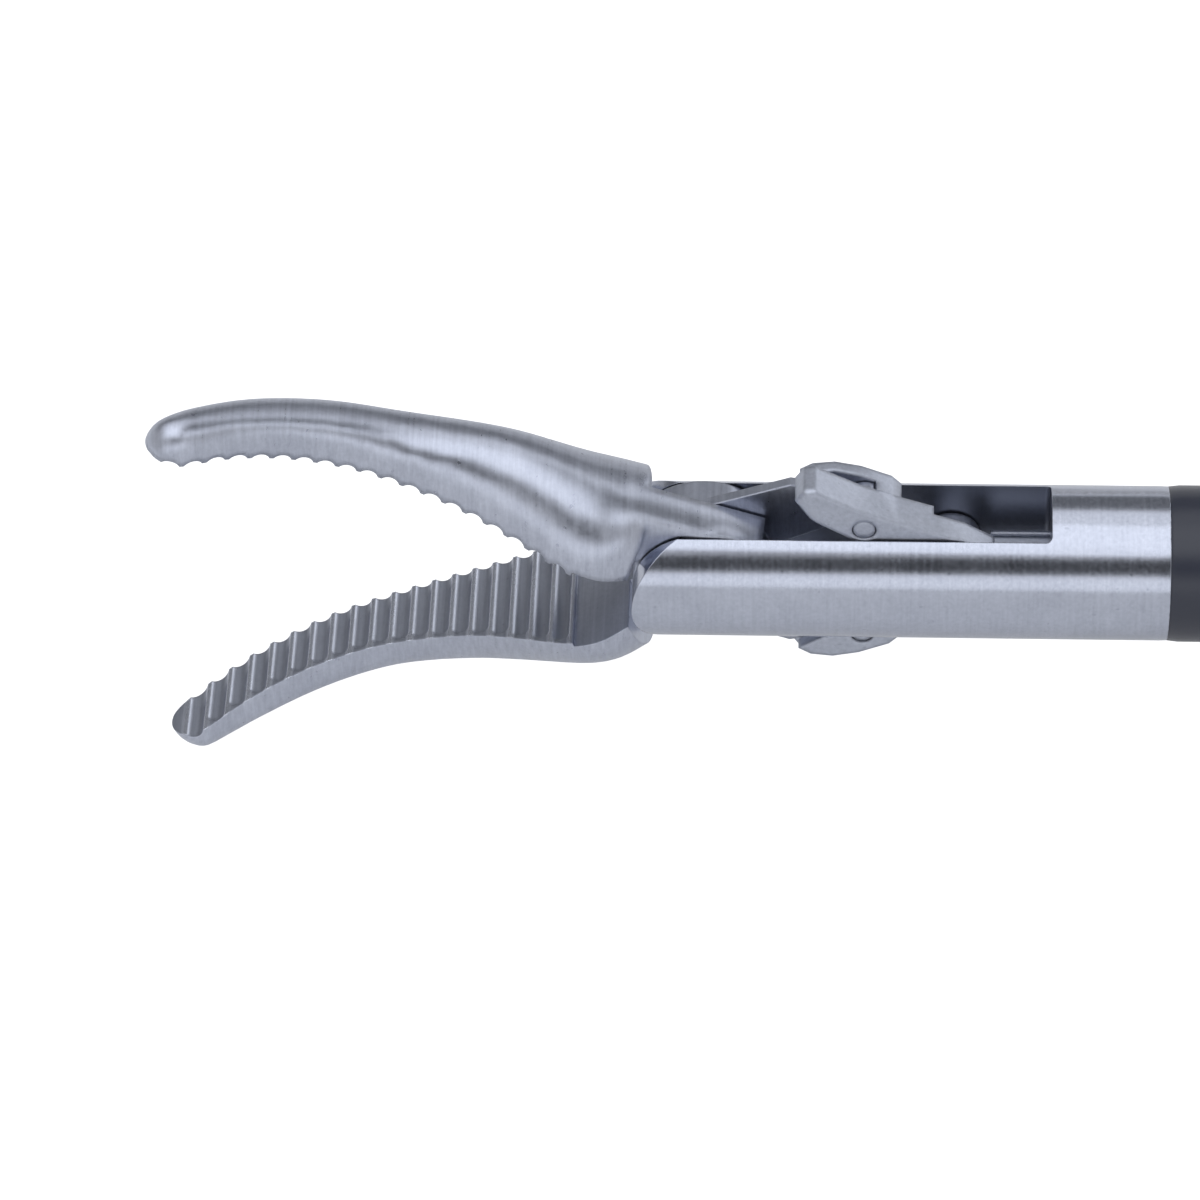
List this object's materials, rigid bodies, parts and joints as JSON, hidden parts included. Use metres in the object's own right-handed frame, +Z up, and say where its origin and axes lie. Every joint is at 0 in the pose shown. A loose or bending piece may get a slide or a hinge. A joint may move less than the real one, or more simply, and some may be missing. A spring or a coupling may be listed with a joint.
{
  "type": "laparoscopic grasper",
  "caption": "Reusable 5 mm laparoscopic grasper: two curved, finely toothed jaws worked by a thumb lever through a long insulated shaft that a knob turns.",
  "frame": {"origin": "on the shaft's axis at the front edge of the black insulation", "axes": "+X along the shaft from the jaws to the handle, +Z up with the jaws opening in the XZ plane, grips towards -Y"},
  "size_m": [0.4419, 0.1062, 0.0256],
  "materials": {
    "tip_steel": "satin stainless steel with a fine brushed grain",
    "handle_steel": "turned stainless steel",
    "black_insulation": "semi-gloss black insulation",
    "handle_plastic": "black moulded plastic, slightly glossy",
    "pale_plastic": "plain white plastic",
    "seal_rubber": "black silicone rubber"
  },
  "bodies": {
    "handle": {"housing_upper": "handle_plastic", "housing_lower": "handle_plastic", "finger_grip": "handle_plastic", "lever_pivot_pin": "handle_steel", "connector_pin": "handle_steel", "connector_collar": "handle_plastic", "housing_screws": "handle_steel"},
    "shaft": {"clevis": "tip_steel", "jaw_pivot_pin": "tip_steel", "rod_guides": "pale_plastic", "rod_seal": "seal_rubber", "outer_tube": "tip_steel", "insulation_sleeve": "black_insulation", "rotation_knob": "handle_plastic", "knob_hub": "handle_steel", "retaining_ring": "handle_steel", "flush_port": "handle_steel", "flush_cap": "seal_rubber"},
    "rod": {"rod_head": "tip_steel", "push_rod": "tip_steel", "rod_ball": "tip_steel", "drive_pin": "tip_steel"},
    "upper_jaw": {"upper_jaw": "tip_steel", "lower_tail_pin": "tip_steel"},
    "lower_jaw": {"lower_jaw": "tip_steel", "upper_tail_pin": "tip_steel"},
    "upper_link": {"upper_link": "tip_steel"},
    "lower_link": {"lower_link": "tip_steel"},
    "lever": {"thumb_lever": "handle_plastic"}
  },
  "joints": [
    {"name": "shaft_turn", "type": "hinge", "parent": "handle", "child": "shaft", "pos_m": [0.335, 0, 0], "axis": [1, 0, 0], "continuous": true},
    {"name": "thumb_lever_swing", "type": "hinge", "parent": "handle", "child": "lever", "pos_m": [0.356, -0.006, 0], "axis": [0, 0, 1], "range_deg": [-13.85, 0]},
    {"name": "rod_slide", "type": "slide", "parent": "shaft", "child": "rod", "axis": [1, 0, 0], "range_m": [0, 0.00145]},
    {"name": "upper_jaw_pivot", "type": "hinge", "parent": "shaft", "child": "upper_jaw", "pos_m": [-0.0148, 0, 0], "axis": [0, 1, 0], "range_deg": [-20, 0]},
    {"name": "lower_jaw_pivot", "type": "hinge", "parent": "shaft", "child": "lower_jaw", "pos_m": [-0.0148, 0, 0], "axis": [0, 1, 0], "range_deg": [0, 20]},
    {"name": "upper_link_pivot", "type": "hinge", "parent": "lower_jaw", "child": "upper_link", "pos_m": [-0.0097, 0, 0.0025], "axis": [0, 1, 0], "range_deg": [-52.5, 0]},
    {"name": "lower_link_pivot", "type": "hinge", "parent": "upper_jaw", "child": "lower_link", "pos_m": [-0.0097, 0, -0.0025], "axis": [0, 1, 0], "range_deg": [0, 52.5]}
  ],
  "couplings": [
    {"joint": "rod_slide", "follows": "thumb_lever_swing", "m_per_rad": -0.006},
    {"joint": "upper_jaw_pivot", "follows": "thumb_lever_swing", "ratio": 1.4437},
    {"joint": "lower_jaw_pivot", "follows": "thumb_lever_swing", "ratio": -1.4437},
    {"joint": "upper_link_pivot", "follows": "thumb_lever_swing", "ratio": 3.7885},
    {"joint": "lower_link_pivot", "follows": "thumb_lever_swing", "ratio": -3.7885}
  ]
}
